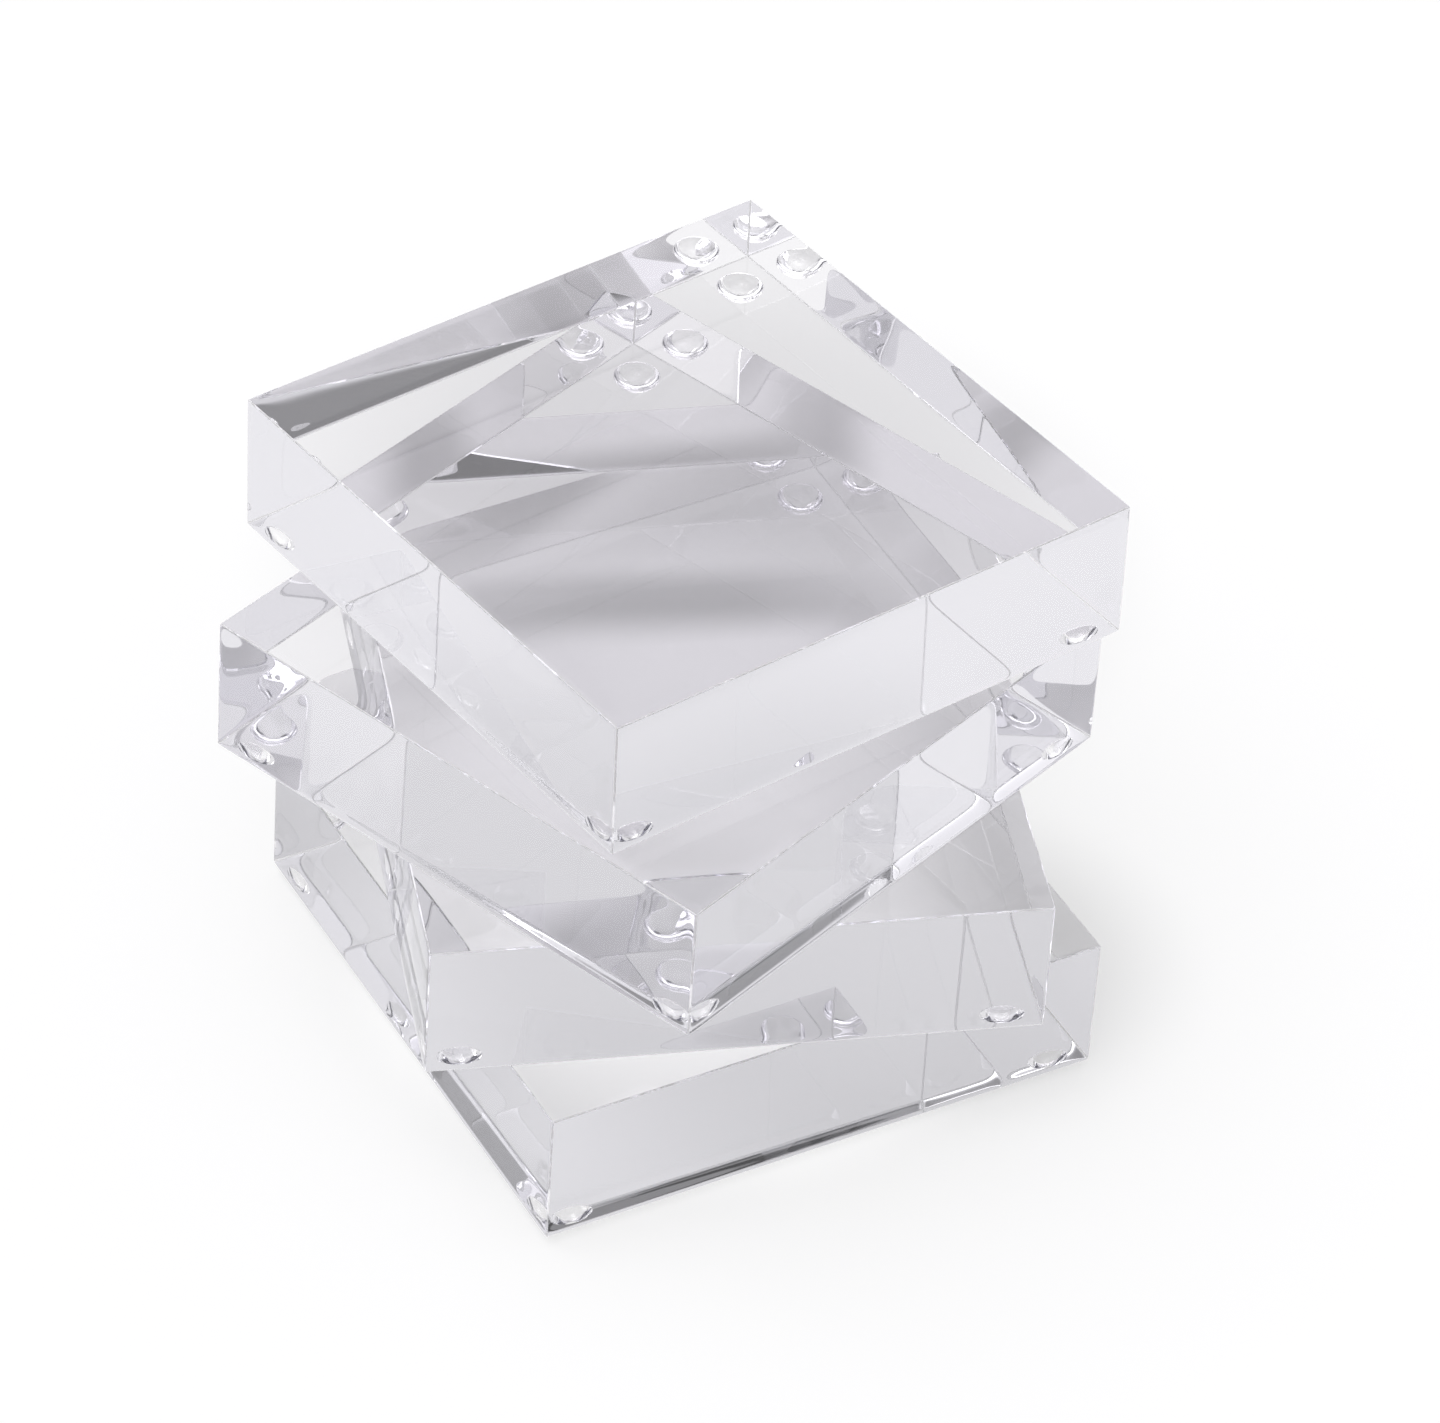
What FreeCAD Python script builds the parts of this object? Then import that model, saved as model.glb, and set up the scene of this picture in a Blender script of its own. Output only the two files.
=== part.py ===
import FreeCAD, Part
import math
import os

import Sketcher
from FreeCAD import Placement, Rotation, Vector

# A display riser of four loose clear acrylic blocks, stacked at odd angles.
# Each block has four clear domed feet, each stuck on by its own adhesive disc.
# Millimetres and degrees. The bottom block is square to the X and Y axes, +Z is up.

SIZES = {
    "block_side": 101.6,
    "block_thickness": 25.4,
    "corner_round": 0.2,
    "edge_round": 0.15,
    "foot_diameter": 7.9,
    "foot_height": 2.2,
    "foot_inset": 6.2,
    "foot_flat_diameter": 2.6,
    "adhesive_diameter": 7.5,
    "adhesive_thickness": 0.1,
    "seat_gap": 0.05,
    "lower_turn": -18.3,
    "lower_shift_across": 0.0,
    "lower_shift_back": 0.5,
    "upper_turn": 21.2,
    "upper_shift_across": -6.9,
    "upper_shift_back": -0.3,
    "top_turn": 8.4,
    "top_shift_across": 0.1,
    "top_shift_back": 7.2,
}

BLOCKS = ("bottom", "lower", "upper", "top")

# Each foot's corner of the block, as the signs of its X and Y.
FOOT_CORNERS = {
    "front_left": (-1, -1),
    "front_right": (1, -1),
    "back_right": (1, 1),
    "back_left": (-1, 1),
}

UP = Vector(0, 0, 1)
ACROSS = Vector(1, 0, 0)

START_POINT = 1
END_POINT = 2
CENTRE_POINT = 3
HORIZONTAL_AXIS = -1
VERTICAL_AXIS = -2
ORIGIN_POINT = (HORIZONTAL_AXIS, START_POINT)

FLAT_TOLERANCE = 1e-6

document = FreeCAD.newDocument("acrylic_display_stack")
sheet = document.addObject("Spreadsheet::Sheet", "Sizes")
for row, (alias, value) in enumerate(SIZES.items(), start=1):
    sheet.set(f"A{row}", alias)
    sheet.set(f"B{row}", str(value))
    sheet.setAlias(f"B{row}", alias)
document.recompute()


def size(alias):
    return float(sheet.get(alias))


def new_body(name):
    body = document.addObject("PartDesign::Body", name)
    body.Label = name
    return body


def new_sketch(body, name, plane_role):
    """An empty sketch on one of the body's own origin planes."""
    plane = next(f for f in body.Origin.OriginFeatures if f.Role == plane_role)
    sketch = body.newObject("Sketcher::SketchObject", name)
    sketch.AttachmentSupport = [(plane, "")]
    sketch.MapMode = "FlatFace"
    return sketch


def drive(sketch, constraint, expression):
    """Adds a dimension to a sketch and binds it to the sheet."""
    index = sketch.addConstraint(constraint)
    sketch.setExpression(f"Constraints[{index}]", expression)


def square_outline(body):
    """The block's plan: a square centred on the origin."""
    sketch = new_sketch(body, f"{body.Name}_plan", "XY_Plane")
    half = size("block_side") / 2
    signs = ((-1, -1), (1, -1), (1, 1), (-1, 1))
    corners = [Vector(x * half, y * half, 0) for x, y in signs]
    for index, corner in enumerate(corners):
        following = corners[(index + 1) % len(corners)]
        sketch.addGeometry(Part.LineSegment(corner, following))
    for index in range(len(corners)):
        following = (index + 1) % len(corners)
        joined = Sketcher.Constraint("Coincident", index, END_POINT, following, START_POINT)
        sketch.addConstraint(joined)
        direction = "Horizontal" if index % 2 == 0 else "Vertical"
        sketch.addConstraint(Sketcher.Constraint(direction, index))
    sketch.addConstraint(Sketcher.Constraint("Equal", 0, 1))
    opposite_corners = (0, START_POINT, 1, END_POINT)
    sketch.addConstraint(Sketcher.Constraint("Symmetric", *opposite_corners, *ORIGIN_POINT))
    side = Sketcher.Constraint("DistanceX", 0, START_POINT, 0, END_POINT, 2 * half)
    drive(sketch, side, "Sizes.block_side")
    return sketch


def is_upright(edge):
    ends = [vertex.Point for vertex in edge.Vertexes]
    return abs((ends[1] - ends[0]).normalize().dot(UP)) > 1 - FLAT_TOLERANCE


def is_level(edge):
    return edge.BoundBox.ZLength < FLAT_TOLERANCE


def round_edges(body, name, base, wanted, radius_cell):
    """Rounds every edge of the base feature that the test picks out."""
    edges = enumerate(base.Shape.Edges, start=1)
    picked = [f"Edge{number}" for number, edge in edges if wanted(edge)]
    rounding = body.newObject("PartDesign::Fillet", name)
    rounding.Base = (base, picked)
    rounding.setExpression("Radius", f"Sizes.{radius_cell}")
    document.recompute()
    return rounding


def make_block(name):
    """One slab cut from sheet, its edges softened by polishing. Its underside is at Z = 0."""
    body = new_body(name)
    plan = square_outline(body)
    slab = body.newObject("PartDesign::Pad", f"{name}_slab")
    slab.Profile = plan
    slab.setExpression("Length", "Sizes.block_thickness")
    document.recompute()
    corners = round_edges(body, f"{name}_corners", slab, is_upright, "corner_round")
    round_edges(body, f"{name}_edges", corners, is_level, "edge_round")
    return body


def foot_profile(body):
    """Half of the dome's section, to the right of the foot's own axis."""
    sketch = new_sketch(body, f"{body.Name}_section", "XZ_Plane")
    depth = size("foot_height") - size("adhesive_thickness")
    rim = size("foot_diameter") / 2
    flat = size("foot_flat_diameter") / 2
    centre_height = (flat**2 - rim**2 + depth**2) / (-2 * depth)
    radius = math.hypot(rim, centre_height)
    rim_angle = math.atan2(-centre_height, rim)
    flat_angle = math.atan2(-depth - centre_height, flat)
    circle = Part.Circle(Vector(0, centre_height, 0), UP, radius)
    top, dome, bottom, axis = (
        sketch.addGeometry(Part.LineSegment(Vector(0, 0, 0), Vector(rim, 0, 0))),
        sketch.addGeometry(Part.ArcOfCircle(circle, flat_angle, rim_angle)),
        sketch.addGeometry(Part.LineSegment(Vector(flat, -depth, 0), Vector(0, -depth, 0))),
        sketch.addGeometry(Part.LineSegment(Vector(0, -depth, 0), Vector(0, 0, 0))),
    )
    for constraint in (
        ("Coincident", top, START_POINT, *ORIGIN_POINT),
        ("Horizontal", top),
        ("Coincident", top, END_POINT, dome, END_POINT),
        ("Coincident", dome, START_POINT, bottom, START_POINT),
        ("Horizontal", bottom),
        ("Coincident", bottom, END_POINT, axis, START_POINT),
        ("Coincident", axis, END_POINT, top, START_POINT),
        ("Vertical", axis),
        ("PointOnObject", dome, CENTRE_POINT, VERTICAL_AXIS),
    ):
        sketch.addConstraint(Sketcher.Constraint(*constraint))
    rim_reach = Sketcher.Constraint("DistanceX", top, START_POINT, top, END_POINT, rim)
    drive(sketch, rim_reach, "Sizes.foot_diameter / 2")
    flat_reach = Sketcher.Constraint("DistanceX", bottom, END_POINT, bottom, START_POINT, flat)
    drive(sketch, flat_reach, "Sizes.foot_flat_diameter / 2")
    drop = Sketcher.Constraint("DistanceY", axis, START_POINT, axis, END_POINT, depth)
    drive(sketch, drop, "Sizes.foot_height - Sizes.adhesive_thickness")
    return sketch


def make_foot(name):
    """One soft clear dome, flattened a little where it bears. Its stuck face is at Z = 0."""
    body = new_body(name)
    section = foot_profile(body)
    dome = body.newObject("PartDesign::Revolution", f"{name}_dome")
    dome.Profile = section
    dome.ReferenceAxis = (section, ["V_Axis"])
    dome.Angle = 360
    return body


def make_adhesive(name):
    """The clear disc that sticks one foot to its block. Its upper face is at Z = 0."""
    body = new_body(name)
    sketch = new_sketch(body, f"{name}_outline", "XY_Plane")
    radius = size("adhesive_diameter") / 2
    circle = sketch.addGeometry(Part.Circle(Vector(0, 0, 0), UP, radius))
    centred = Sketcher.Constraint("Coincident", circle, CENTRE_POINT, *ORIGIN_POINT)
    sketch.addConstraint(centred)
    drive(sketch, Sketcher.Constraint("Radius", circle, radius), "Sizes.adhesive_diameter / 2")
    disc = body.newObject("PartDesign::Pad", f"{name}_disc")
    disc.Profile = sketch
    disc.Reversed = True
    disc.setExpression("Length", "Sizes.adhesive_thickness")
    return body


def level_pose(block, layer):
    """A block lying flat, as the layer-th in the stack: its feet hang beside the one below."""
    pitch = size("block_thickness") + size("seat_gap")
    height = size("foot_height") + layer * pitch
    across, back, turn = 0.0, 0.0, 0.0
    if layer:
        across = size(f"{block}_shift_across")
        back = size(f"{block}_shift_back")
        turn = size(f"{block}_turn")
    return Placement(Vector(across, back, height), Rotation(UP, turn))


def leaning_pose(layer):
    """The top block: its two front feet and its rounded back edge rest on the block below.

    It leans back about its own X axis, by the angle that brings the back of the feet's
    flats and the rounding of the back edge down to one level.
    """
    flat = level_pose("top", layer)
    rounding = size("edge_round")
    half = size("block_side") / 2
    bearing = half - size("foot_inset") - size("foot_flat_diameter") / 2
    run = bearing + half - rounding
    rise = size("foot_height") + rounding
    lean = math.atan2(rise, run) - math.asin(rounding / math.hypot(run, rise))
    lift = size("foot_height") * math.cos(lean) - bearing * math.sin(lean)
    raised = flat.Base + UP * lift
    return Placement(raised, flat.Rotation * Rotation(ACROSS, -math.degrees(lean)))


def build_stack():
    """Makes every sub-part in its place on its block, and returns their bodies."""
    reach = size("block_side") / 2 - size("foot_inset")
    glue_line = -size("adhesive_thickness")
    bodies = []
    for layer, block in enumerate(BLOCKS):
        pose = leaning_pose(layer) if block == "top" else level_pose(block, layer)
        slab = make_block(f"{block}_block")
        slab.Placement = pose
        bodies.append(slab)
        for corner, (x_sign, y_sign) in FOOT_CORNERS.items():
            centre = Vector(x_sign * reach, y_sign * reach, 0)
            adhesive = make_adhesive(f"{block}_adhesive_{corner}")
            adhesive.Placement = pose * Placement(centre, Rotation())
            foot = make_foot(f"{block}_foot_{corner}")
            foot.Placement = pose * Placement(centre + UP * glue_line, Rotation())
            bodies += [adhesive, foot]
    document.recompute()
    return bodies


def centre_on_footprint(bodies):
    """Slides the whole stack so that the origin is under the middle of its box."""
    box = FreeCAD.BoundBox()
    for body in bodies:
        box.add(body.Shape.optimalBoundingBox(False, False))
    shift = Vector(-box.Center.x, -box.Center.y, 0)
    for body in bodies:
        body.Placement = Placement(shift, Rotation()) * body.Placement
    document.recompute()


def check_document(bodies):
    for item in document.Objects:
        if "Invalid" in item.State or "Error" in item.State:
            raise RuntimeError(f"{item.Label} did not compute")
    for body in bodies:
        shape = body.Shape
        if shape.isNull() or not shape.isValid() or len(shape.Solids) != 1:
            raise RuntimeError(f"{body.Label} is not one valid solid")


stack = build_stack()
centre_on_footprint(stack)
check_document(stack)
os.makedirs("parts", exist_ok=True)
for sub_part in stack:
    sub_part.Shape.exportStep(f"parts/{sub_part.Label}.step")
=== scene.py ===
import math

import bmesh
import bpy
from mathutils import Matrix, Vector


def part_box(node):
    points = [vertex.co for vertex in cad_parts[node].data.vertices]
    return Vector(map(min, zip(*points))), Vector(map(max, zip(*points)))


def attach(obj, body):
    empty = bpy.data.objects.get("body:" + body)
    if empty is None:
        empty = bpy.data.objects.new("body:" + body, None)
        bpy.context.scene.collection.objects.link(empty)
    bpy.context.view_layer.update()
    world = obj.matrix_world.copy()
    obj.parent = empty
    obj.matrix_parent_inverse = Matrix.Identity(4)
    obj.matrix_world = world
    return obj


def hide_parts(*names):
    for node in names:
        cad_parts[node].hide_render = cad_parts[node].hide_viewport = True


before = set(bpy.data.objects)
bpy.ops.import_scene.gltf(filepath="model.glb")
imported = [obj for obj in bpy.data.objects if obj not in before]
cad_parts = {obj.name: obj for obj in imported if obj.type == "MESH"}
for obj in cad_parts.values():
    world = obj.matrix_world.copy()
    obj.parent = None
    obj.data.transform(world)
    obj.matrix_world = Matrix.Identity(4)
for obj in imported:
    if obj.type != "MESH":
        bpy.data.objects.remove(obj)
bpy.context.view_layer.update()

# A twisted stack of four clear acrylic display blocks on clear domed feet.
# Metres, in the shared frame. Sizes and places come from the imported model.

BLOCKS = ("bottom", "lower", "upper", "top")
FOOT_CORNERS = {
    "front_left": (-1, -1),
    "front_right": (1, -1),
    "back_right": (1, 1),
    "back_left": (-1, 1),
}

# ---- sizes ----------------------------------------------------------------

MM = 0.001
CORNER_ROUND = 0.2 * MM
EDGE_ROUND = 0.15 * MM
POLISH_DROP = 0.04 * MM
POLISH_REACH = 1.2 * MM
EDGE_BAND = 0.25 * MM
POLISH_SHARPNESS = 24
ROUND_STEPS = 8
MARKED_SHARE = 0.9
MERGE_DISTANCE = 1e-7
# Distances in from an edge, in millimetres, of the lines that divide a face.
FACE_MARKS = (0.25, 0.5, 0.8, 1.15, 1.55, 2.0, 2.5, 3.1, 3.8, 4.7, 6.0, 8.0, 11.0, 16.0, 24.0, 36.0)
FOOT_FLAT_RADIUS = 1.3 * MM
LATHE_SIDES = 64
DOME_RINGS = 20
PLACE_LAYER = "place"


def node_name(block, kind, corner):
    return f"{block}_{kind}_{corner}"


def middle(node):
    low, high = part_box(node)
    return (low + high) / 2


def spread(node):
    low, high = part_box(node)
    return high - low


BLOCK_SIZE = spread("bottom_block")
ADHESIVE_SIZE = spread(node_name("bottom", "adhesive", "front_left"))
FOOT_SIZE = spread(node_name("bottom", "foot", "front_left"))
FOOT_REACH = (
    middle(node_name("bottom", "foot", "front_right"))
    - middle(node_name("bottom", "foot", "front_left"))
).length / 2


def block_pose(block):
    """The block's own axes and centre at rest, read from its feet and its box."""
    front_left = middle(node_name(block, "foot", "front_left"))
    across = (middle(node_name(block, "foot", "front_right")) - front_left).normalized()
    back = (middle(node_name(block, "foot", "back_left")) - front_left).normalized()
    up = across.cross(back).normalized()
    turn = Matrix((across, back, up)).transposed().to_4x4()
    return Matrix.Translation(middle(f"{block}_block")) @ turn


# ---- meshes ---------------------------------------------------------------


def marks_along(half):
    """Places along a flat run, close together near its ends where the polish rolls off."""
    inner = [half - mark * MM for mark in FACE_MARKS if mark * MM < half * MARKED_SHARE]
    outward = sorted([0.0, *inner, half])
    return [-place for place in reversed(outward[1:])] + outward


def rolled_off(point, half):
    """Moves a point in by the little that polishing takes off a face near its edges."""
    edge_gap = [half[k] - abs(point[k]) for k in range(3)]
    near = [math.exp(-max(gap, 0.0) / POLISH_REACH) for gap in edge_gap]
    moved = point.copy()
    for k in range(3):
        share = (abs(point[k]) / half[k]) ** POLISH_SHARPNESS
        taken = POLISH_DROP * share * (sum(near) - near[k])
        moved[k] -= math.copysign(taken, point[k])
    return moved


def block_rings(half):
    """Distance out from the inner square and height of each ring, from underside to top."""
    quarter = [math.pi / 2 * step / ROUND_STEPS for step in range(ROUND_STEPS + 1)]
    rim = [
        (CORNER_ROUND - EDGE_ROUND + EDGE_ROUND * math.sin(turn), EDGE_ROUND * (1 - math.cos(turn)))
        for turn in quarter
    ]
    lower = [(0.0, -half.z)] + [(out, rise - half.z) for out, rise in rim]
    upper = [(out, -height) for out, height in reversed(lower)]
    straight = half.z - EDGE_ROUND
    wall = [(CORNER_ROUND, place) for place in marks_along(straight)[1:-1]]
    return lower + wall + upper


def outline(half):
    """The inner square's points in turn round the block, each with the way out from it."""
    reach = half.x - CORNER_ROUND
    run = marks_along(reach)
    points = []
    for side in range(4):
        turn = Matrix.Rotation(math.pi / 2 * side, 3, "Z")
        out = Vector((0, -1, 0))
        for place in run[:-1]:
            points.append((turn @ Vector((place, -reach, 0)), turn @ out))
        corner = turn @ Vector((reach, -reach, 0))
        for step in range(ROUND_STEPS):
            swing = Matrix.Rotation(math.pi / 2 * step / ROUND_STEPS, 3, "Z")
            points.append((corner, turn @ (swing @ out)))
    return points


def block_mesh(name):
    """A closed slab with rounded edges and corners, centred on the origin."""
    half = BLOCK_SIZE / 2
    body = bmesh.new()
    ring_points = outline(half)
    rings = []
    for out, height in block_rings(half):
        rise = Vector((0, 0, height))
        rings.append([body.verts.new(point + way * out + rise) for point, way in ring_points])
    count = len(ring_points)
    for below, above in zip(rings, rings[1:]):
        for index in range(count):
            after = (index + 1) % count
            body.faces.new((below[index], below[after], above[after], above[index]))
    run = marks_along(half.x - CORNER_ROUND)
    for height, upward in ((-half.z, False), (half.z, True)):
        grid = [[body.verts.new((x, y, height)) for x in run] for y in run]
        for row, following in zip(grid, grid[1:]):
            for index in range(len(run) - 1):
                quad = (row[index], row[index + 1], following[index + 1], following[index])
                body.faces.new(quad if upward else tuple(reversed(quad)))
    bmesh.ops.remove_doubles(body, verts=body.verts, dist=MERGE_DISTANCE)
    bmesh.ops.dissolve_degenerate(body, edges=body.edges, dist=MERGE_DISTANCE)
    for vert in body.verts:
        vert.co = rolled_off(vert.co, half)
    return finished_mesh(name, body)


def lathe_mesh(name, profile):
    """A closed solid turned about Z. The profile runs from the axis at the top to the axis below."""
    body = bmesh.new()
    (_, top), *rims, (_, bottom) = profile
    apex = body.verts.new((0, 0, top))
    base = body.verts.new((0, 0, bottom))
    turns = [math.tau * side / LATHE_SIDES for side in range(LATHE_SIDES)]
    rings = [
        [body.verts.new((radius * math.cos(turn), radius * math.sin(turn), height)) for turn in turns]
        for radius, height in rims
    ]
    for index in range(LATHE_SIDES):
        after = (index + 1) % LATHE_SIDES
        body.faces.new((apex, rings[0][index], rings[0][after]))
        for above, below in zip(rings, rings[1:]):
            body.faces.new((above[index], below[index], below[after], above[after]))
        body.faces.new((base, rings[-1][after], rings[-1][index]))
    return finished_mesh(name, body)


def finished_mesh(name, body):
    """Turns a bmesh into a smooth-shaded mesh that keeps its own un-posed place as an attribute."""
    bmesh.ops.recalc_face_normals(body, faces=body.faces)
    place = body.verts.layers.float_vector.new(PLACE_LAYER)
    for vert in body.verts:
        vert[place] = vert.co
    mesh = bpy.data.meshes.new(name)
    body.to_mesh(mesh)
    body.free()
    mesh.shade_smooth()
    return mesh


def dome_profile():
    """The foot's outline: a stuck disc above, a part of a sphere, and the flat it bears on."""
    rim = FOOT_SIZE.x / 2
    depth = FOOT_SIZE.z
    centre = (FOOT_FLAT_RADIUS**2 - rim**2 + depth**2) / (-2 * depth)
    radius = math.hypot(rim, centre)
    start = math.atan2(-centre, rim)
    end = math.atan2(-depth - centre, FOOT_FLAT_RADIUS)
    points = [(0.0, 0.0)]
    for step in range(DOME_RINGS + 1):
        turn = start + (end - start) * step / DOME_RINGS
        points.append((radius * math.cos(turn), centre + radius * math.sin(turn)))
    points.append((0.0, -depth))
    return points


def disc_profile():
    radius = ADHESIVE_SIZE.x / 2
    depth = ADHESIVE_SIZE.z
    return [(0.0, 0.0), (radius, 0.0), (radius, -depth), (0.0, -depth)]


# ---- materials ------------------------------------------------------------

CLEAR_COLOUR = (0.955, 0.95, 0.957, 1.0)
ACRYLIC_IOR = 1.49
# What is left of white light along the way through, and how fast it gets there.
ACRYLIC_TINT = (0.2, 0.19, 0.36)
FOOT_TINT = (0.2, 0.2, 0.3)
TINT_DENSITY = 1.6
# Buffing: waves a metre, least and most roughness, and depth.
ACRYLIC_POLISH = (30.0, (0.0, 0.004), 0.01 * MM)
FOOT_POLISH = (400.0, (0.03, 0.09), 0.01 * MM)
POLISH_DETAIL = 3.0
# Scraped edges: added roughness, and the share of the light that goes straight on.
EDGE_DULLNESS = 0.3
EDGE_CLEARNESS = 0.52
# An edge is wherever a point lies near more than one side of its block.
MORE_THAN_ONE = 1.5
GLUE_SKIN = 0.02 * MM
GLUE_COLOUR = (0.9, 0.9, 0.92, 1.0)
GLUE_ROUGHNESS = 0.3
SPECK_SCALE = 1500.0
SPECK_REACH = 0.12
SPECK_STRENGTH = 0.2


def new_material(name):
    material = bpy.data.materials.new(name)
    material.use_nodes = True
    nodes = material.node_tree.nodes
    nodes.clear()
    output = nodes.new("ShaderNodeOutputMaterial")
    shader = nodes.new("ShaderNodeBsdfPrincipled")
    material.node_tree.links.new(shader.outputs["BSDF"], output.inputs["Surface"])
    return material, shader


def node(material, kind, **settings):
    made = material.node_tree.nodes.new(kind)
    for key, value in settings.items():
        setattr(made, key, value)
    return made


def link(material, source, target):
    material.node_tree.links.new(source, target)


def maths(material, operation, first, second=None):
    made = node(material, "ShaderNodeMath", operation=operation)
    for socket, value in zip(made.inputs, (first, second)):
        if isinstance(value, (int, float)):
            socket.default_value = value
        elif value is not None:
            link(material, value, socket)
    return made.outputs[0]


def eased(material, value, start, end, low, high):
    made = node(material, "ShaderNodeMapRange", interpolation_type="SMOOTHSTEP")
    for socket, number in zip(("From Min", "From Max", "To Min", "To Max"), (start, end, low, high)):
        made.inputs[socket].default_value = number
    link(material, value, made.inputs["Value"])
    return made.outputs["Result"]


def own_place(material):
    """The point's place on its own piece, whatever the pose: X, Y and Z."""
    place = node(material, "ShaderNodeAttribute", attribute_name=PLACE_LAYER)
    parts = node(material, "ShaderNodeSeparateXYZ")
    link(material, place.outputs["Vector"], parts.inputs["Vector"])
    return place.outputs["Vector"], parts.outputs


def polish(material, shader, vector, scale, roughness, distance, duller=None):
    """The faint unevenness that buffing leaves, and any places that it leaves duller."""
    waves = node(material, "ShaderNodeTexNoise")
    waves.inputs["Scale"].default_value = scale
    waves.inputs["Detail"].default_value = POLISH_DETAIL
    link(material, vector, waves.inputs["Vector"])
    spread_of = node(material, "ShaderNodeMapRange")
    spread_of.inputs["To Min"].default_value = roughness[0]
    spread_of.inputs["To Max"].default_value = roughness[1]
    link(material, waves.outputs["Fac"], spread_of.inputs["Value"])
    rough = spread_of.outputs["Result"]
    if duller is not None:
        rough = maths(material, "ADD", rough, duller)
    link(material, rough, shader.inputs["Roughness"])
    bump = node(material, "ShaderNodeBump")
    bump.inputs["Strength"].default_value = 1.0
    bump.inputs["Distance"].default_value = distance
    link(material, waves.outputs["Fac"], bump.inputs["Height"])
    link(material, bump.outputs["Normal"], shader.inputs["Normal"])


def clear(material, shader, tint):
    """Clear solid plastic, which takes a little of the light along its length."""
    shader.inputs["Base Color"].default_value = CLEAR_COLOUR
    shader.inputs["Transmission Weight"].default_value = 1.0
    shader.inputs["IOR"].default_value = ACRYLIC_IOR
    inside = node(material, "ShaderNodeVolumeAbsorption")
    inside.inputs["Color"].default_value = (*tint, 1.0)
    inside.inputs["Density"].default_value = TINT_DENSITY
    output = next(n for n in material.node_tree.nodes if n.type == "OUTPUT_MATERIAL")
    link(material, inside.outputs["Volume"], output.inputs["Volume"])


def acrylic_material():
    """Clear polished acrylic with pale scraped edges. Where a foot is stuck on, it bends no light."""
    material, shader = new_material("clear_acrylic")
    clear(material, shader, ACRYLIC_TINT)
    vector, (x, y, z) = own_place(material)
    near_sides = [
        maths(material, "GREATER_THAN", maths(material, "ABSOLUTE", part), reach / 2 - EDGE_BAND)
        for part, reach in zip((x, y, z), BLOCK_SIZE)
    ]
    sides = maths(material, "ADD", maths(material, "ADD", *near_sides[:2]), near_sides[2])
    edge = maths(material, "GREATER_THAN", sides, MORE_THAN_ONE)
    scraped = maths(material, "MULTIPLY", edge, EDGE_DULLNESS)
    link(material, maths(material, "SUBTRACT", 1.0, edge), shader.inputs["Transmission Weight"])
    polish(material, shader, vector, *ACRYLIC_POLISH, scraped)
    from_foot = []
    for part in (x, y):
        gap = maths(material, "SUBTRACT", maths(material, "ABSOLUTE", part), FOOT_REACH)
        from_foot.append(maths(material, "MULTIPLY", gap, gap))
    away = maths(material, "SQRT", maths(material, "ADD", *from_foot))
    outside = maths(material, "GREATER_THAN", away, ADHESIVE_SIZE.x / 2)
    above = maths(material, "GREATER_THAN", z, -BLOCK_SIZE.z / 2 + EDGE_ROUND / 2)
    unglued = maths(material, "MAXIMUM", outside, above)
    faint = maths(material, "SUBTRACT", 1.0, maths(material, "MULTIPLY", edge, EDGE_CLEARNESS))
    link(material, maths(material, "MULTIPLY", unglued, faint), shader.inputs["Alpha"])
    return material


def foot_material():
    """Clear soft polyurethane. Its stuck face doesn't bend light, because the glue fills the joint."""
    material, shader = new_material("clear_foot")
    clear(material, shader, FOOT_TINT)
    vector, (x, y, z) = own_place(material)
    polish(material, shader, vector, *FOOT_POLISH)
    across = node(material, "ShaderNodeVectorMath", operation="LENGTH")
    flat = node(material, "ShaderNodeCombineXYZ")
    link(material, x, flat.inputs["X"])
    link(material, y, flat.inputs["Y"])
    link(material, flat.outputs["Vector"], across.inputs[0])
    outside = maths(material, "GREATER_THAN", across.outputs["Value"], ADHESIVE_SIZE.x / 2)
    below = maths(material, "LESS_THAN", z, -GLUE_SKIN)
    link(material, maths(material, "MAXIMUM", outside, below), shader.inputs["Alpha"])
    return material


def adhesive_material():
    """Clear glue between two clear parts: hardly there, with a few specks of trapped air."""
    material, shader = new_material("clear_adhesive")
    shader.inputs["Base Color"].default_value = GLUE_COLOUR
    shader.inputs["Roughness"].default_value = GLUE_ROUGHNESS
    vector, _ = own_place(material)
    specks = node(material, "ShaderNodeTexVoronoi")
    specks.inputs["Scale"].default_value = SPECK_SCALE
    link(material, vector, specks.inputs["Vector"])
    speck = maths(material, "LESS_THAN", specks.outputs["Distance"], SPECK_REACH)
    link(material, maths(material, "MULTIPLY", speck, SPECK_STRENGTH), shader.inputs["Alpha"])
    return material


# ---- the stack ------------------------------------------------------------


def add_piece(name, mesh, pose, material, block, cad_node):
    """Puts a copy of a mesh in its place on a block, riding with it in place of its CAD node."""
    own = mesh.copy()
    own.name = name
    own.transform(pose)
    own.materials.append(material)
    piece = bpy.data.objects.new(name, own)
    bpy.context.scene.collection.objects.link(piece)
    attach(piece, f"{block}_block")
    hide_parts(cad_node)


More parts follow.
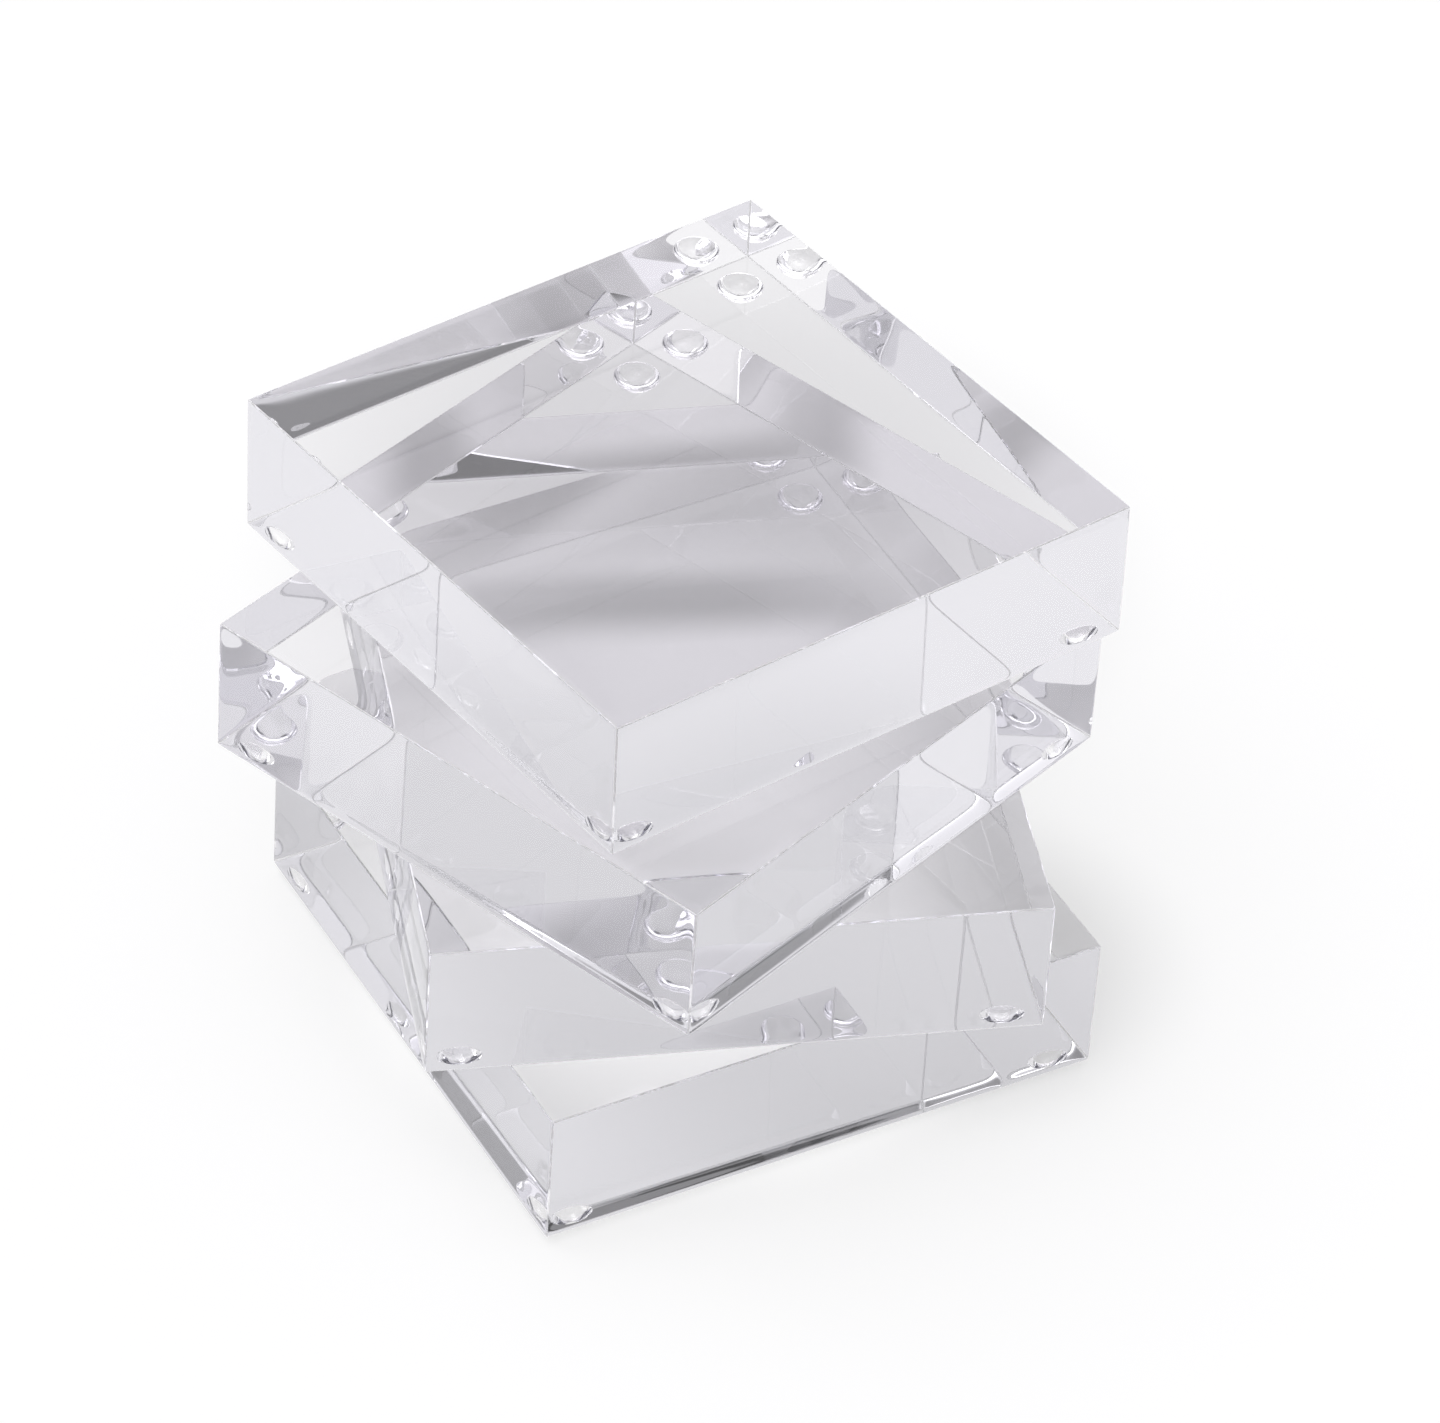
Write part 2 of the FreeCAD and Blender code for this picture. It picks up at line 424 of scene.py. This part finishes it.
def build_stack():
    slab = block_mesh("slab")
    dome = lathe_mesh("dome", dome_profile())
    disc = lathe_mesh("disc", disc_profile())
    acrylic = acrylic_material()
    soft = foot_material()
    glue = adhesive_material()
    for block in BLOCKS:
        pose = block_pose(block)
        add_piece(f"{block}_slab", slab, pose, acrylic, block, f"{block}_block")
        for corner, (x_sign, y_sign) in FOOT_CORNERS.items():
            stuck = Vector((x_sign * FOOT_REACH, y_sign * FOOT_REACH, -BLOCK_SIZE.z / 2))
            disc_pose = pose @ Matrix.Translation(stuck)
            dome_pose = disc_pose @ Matrix.Translation((0, 0, -ADHESIVE_SIZE.z))
            glued = node_name(block, "adhesive", corner)
            add_piece(f"{block}_glue_{corner}", disc, disc_pose, glue, block, glued)
            standing = node_name(block, "foot", corner)
            add_piece(f"{block}_bumper_{corner}", dome, dome_pose, soft, block, standing)


# ---- camera, floor and light ----------------------------------------------

CAMERA_TURN = math.radians(30.76)
CAMERA_FALL = math.radians(39.90)
CAMERA_ROLL = math.radians(4.07)
CAMERA_LENS = 200.0
CAMERA_CLIP = 100.0
CAMERA_PLACE = Vector((-0.5061, -0.86555, 0.89743))


def add_camera():
    ahead = Vector((math.sin(CAMERA_TURN), math.cos(CAMERA_TURN), 0))
    sight = ahead * math.cos(CAMERA_FALL) - Vector((0, 0, math.sin(CAMERA_FALL)))
    right = sight.cross(Vector((0, 0, 1))).normalized()
    above = right.cross(sight)
    tilted_right = right * math.cos(CAMERA_ROLL) + above * math.sin(CAMERA_ROLL)
    tilted_above = tilted_right.cross(sight)
    turn = Matrix((tilted_right, tilted_above, -sight)).transposed()
    data = bpy.data.cameras.new("camera")
    data.lens = CAMERA_LENS
    data.clip_end = CAMERA_CLIP
    camera = bpy.data.objects.new("camera", data)
    camera.matrix_world = Matrix.Translation(CAMERA_PLACE) @ turn.to_4x4()
    bpy.context.scene.collection.objects.link(camera)
    bpy.context.scene.camera = camera


FLOOR_REACH = 6.0
FLOOR_COLOUR = (0.22, 0.22, 0.22, 1.0)
FLOOR_GLOW = 0.68
# A pool of light painted on the floor under the stack, with one soft band of painted shade across it.
PAINTED_POOL_GLOW = 0.24
PAINTED_POOL_REACH = (30 * MM, 60 * MM)
PAINTED_SHADE_GLOW = -0.56
PAINTED_SHADE_WAY = Vector((0.37, 0.93, 0))
PAINTED_SHADE_RUN = (25 * MM, 36 * MM, 40 * MM, 48 * MM)
# Painted soft shadows on the floor behind the stack and to its right: middle, inner and outer reach,
# and depth.
PAINTED_SHADOWS = (
    (Vector((62, 98, 0)) * MM, 35 * MM, 88 * MM, -0.18),
    (Vector((50, -18, 0)) * MM, 8 * MM, 45 * MM, -0.22),
)


def floor_glow_with_painted_light_and_shade(material):
    """The floor's brightness: even, but for a painted pool of light under the stack, a painted band of
    shade across it and painted shadows behind and to its right.
    """
    place = node(material, "ShaderNodeNewGeometry").outputs["Position"]
    painted_pool = painted_patch(material, place, middle_on_floor(), *PAINTED_POOL_REACH, 1.0)
    # A soft band of painted shade across the floor under the stack.
    along = node(material, "ShaderNodeVectorMath", operation="DOT_PRODUCT")
    link(material, place, along.inputs[0])
    along.inputs[1].default_value = PAINTED_SHADE_WAY
    entering = eased(material, along.outputs["Value"], *PAINTED_SHADE_RUN[:2], 0.0, 1.0)
    leaving = eased(material, along.outputs["Value"], *PAINTED_SHADE_RUN[2:], 1.0, 0.0)
    painted_shade_band = maths(material, "MULTIPLY", maths(material, "MULTIPLY", entering, leaving), PAINTED_SHADE_GLOW)
    change = maths(material, "ADD", painted_shade_band, PAINTED_POOL_GLOW)
    glow = maths(material, "ADD", maths(material, "MULTIPLY", change, painted_pool), FLOOR_GLOW)
    for centre, inner, outer, depth in PAINTED_SHADOWS:
        glow = maths(material, "ADD", glow, painted_patch(material, place, centre, inner, outer, depth))
    return glow


def painted_patch(material, place, centre, inner, outer, strength):
    """A round soft patch about a place on the floor, painted lighter for a strength above nothing and
    darker below it.
    """
    away = node(material, "ShaderNodeVectorMath", operation="DISTANCE")
    link(material, place, away.inputs[0])
    away.inputs[1].default_value = centre
    return eased(material, away.outputs["Value"], inner, outer, strength, 0.0)


def middle_on_floor():
    base = middle("bottom_block")
    return Vector((base.x, base.y, 0))


def add_floor():
    body = bmesh.new()
    bmesh.ops.create_grid(body, x_segments=1, y_segments=1, size=FLOOR_REACH)
    mesh = bpy.data.meshes.new("floor")
    body.to_mesh(mesh)
    body.free()
    material, shader = new_material("pale_floor")
    shader.inputs["Base Color"].default_value = FLOOR_COLOUR
    shader.inputs["Roughness"].default_value = 1.0
    shader.inputs["Specular IOR Level"].default_value = 0.0
    shader.inputs["Emission Color"].default_value = (1.0, 1.0, 1.0, 1.0)
    # The floor's emission carries the painted pool of light, the painted band of shade and the painted
    # shadows.
    link(material, floor_glow_with_painted_light_and_shade(material), shader.inputs["Emission Strength"])
    mesh.materials.append(material)
    floor = bpy.data.objects.new("floor", mesh)
    bpy.context.scene.collection.objects.link(floor)


SKY_COLOUR = (1.0, 0.995, 1.01, 1.0)
HORIZON_GLOW = 0.9
WALL_GLOW = 0.82
CEILING_GLOW = 0.85
OVERHEAD_GLOW = 2.0
LEFT_GLOW = 2.3
RIGHT_GLOW = -0.45
# The heights above the horizon, in degrees, between which each next glow comes in.
WALL_RISE = (11, 16)
CEILING_RISE = (37, 39.5)
OVERHEAD_RISE = (64, 72)
SIDES_RISE = (45, 51)
# How far to the left and right the change from the left glow to the right one reaches.
SIDES_SPAN = (-0.35, 0.35)
# Patches of brighter or darker studio: turn from the back to the right, height above the
# horizon, inner and outer reach, all in degrees, and strength.
PATCHES = (
    (235, 38, 25, 45, 0.5),
    (137, 33, 2.8, 3.6, -0.6),
    (188, 38, 2.5, 7, -1.1),
    (30.6, 43.3, 2.2, 2.9, -0.62),
    (35.5, 45.8, 2.2, 3.2, -0.6),
    (27.3, 38.0, 0.5, 1.1, -0.3),
    (325, 42, 4, 6, -0.6),
)


def from_sky(turn, height):
    """The unit vector towards a place in the sky: turned from the back, to the right, in degrees."""
    around, up = math.radians(turn), math.radians(height)
    return Vector((math.sin(around) * math.cos(up), math.cos(around) * math.cos(up), math.sin(up)))


def rising(material, height, low, high, strength):
    """Light that comes in between two heights above the horizon, in degrees."""
    ends = [math.sin(math.radians(limit)) for limit in (low, high)]
    return eased(material, height, *ends, 0.0, strength)


def add_sky():
    """A plain studio: a pale horizon, wall and ceiling, bright overhead and to the left."""
    world = bpy.data.worlds.new("studio")
    world.use_nodes = True
    background = world.node_tree.nodes["Background"]
    background.inputs["Color"].default_value = SKY_COLOUR
    way = node(world, "ShaderNodeTexCoord")
    parts = node(world, "ShaderNodeSeparateXYZ")
    link(world, way.outputs["Generated"], parts.inputs["Vector"])
    height = parts.outputs["Z"]
    glow = HORIZON_GLOW
    for rise, change in (
        (WALL_RISE, WALL_GLOW - HORIZON_GLOW),
        (CEILING_RISE, CEILING_GLOW - WALL_GLOW),
        (OVERHEAD_RISE, OVERHEAD_GLOW - CEILING_GLOW),
    ):
        glow = maths(world, "ADD", rising(world, height, *rise, change), glow)
    sides = eased(world, parts.outputs["X"], *SIDES_SPAN, LEFT_GLOW, RIGHT_GLOW)
    sides = maths(world, "MULTIPLY", sides, rising(world, height, *SIDES_RISE, 1.0))
    glow = maths(world, "ADD", glow, sides)
    for turn, rise, inner, outer, strength in PATCHES:
        near = node(world, "ShaderNodeVectorMath", operation="DOT_PRODUCT")
        link(world, way.outputs["Generated"], near.inputs[0])
        near.inputs[1].default_value = from_sky(turn, rise)
        ends = [math.cos(math.radians(angle)) for angle in (outer, inner)]
        glow = maths(world, "ADD", glow, eased(world, near.outputs["Value"], *ends, 0.0, strength))
    link(world, maths(world, "MAXIMUM", glow, 0.0), background.inputs["Strength"])
    bpy.context.scene.world = world


MOST_BOUNCES = 48
SURE_BOUNCES = 16

build_stack()
add_camera()
add_floor()
add_sky()
bpy.context.scene.view_settings.view_transform = "Standard"
# Light crosses up to sixteen faces here, and is turned back inside the blocks many times.
light_paths = bpy.context.scene.cycles
light_paths.max_bounces = MOST_BOUNCES
light_paths.min_light_bounces = SURE_BOUNCES
light_paths.transmission_bounces = MOST_BOUNCES
light_paths.glossy_bounces = MOST_BOUNCES
light_paths.transparent_max_bounces = MOST_BOUNCES
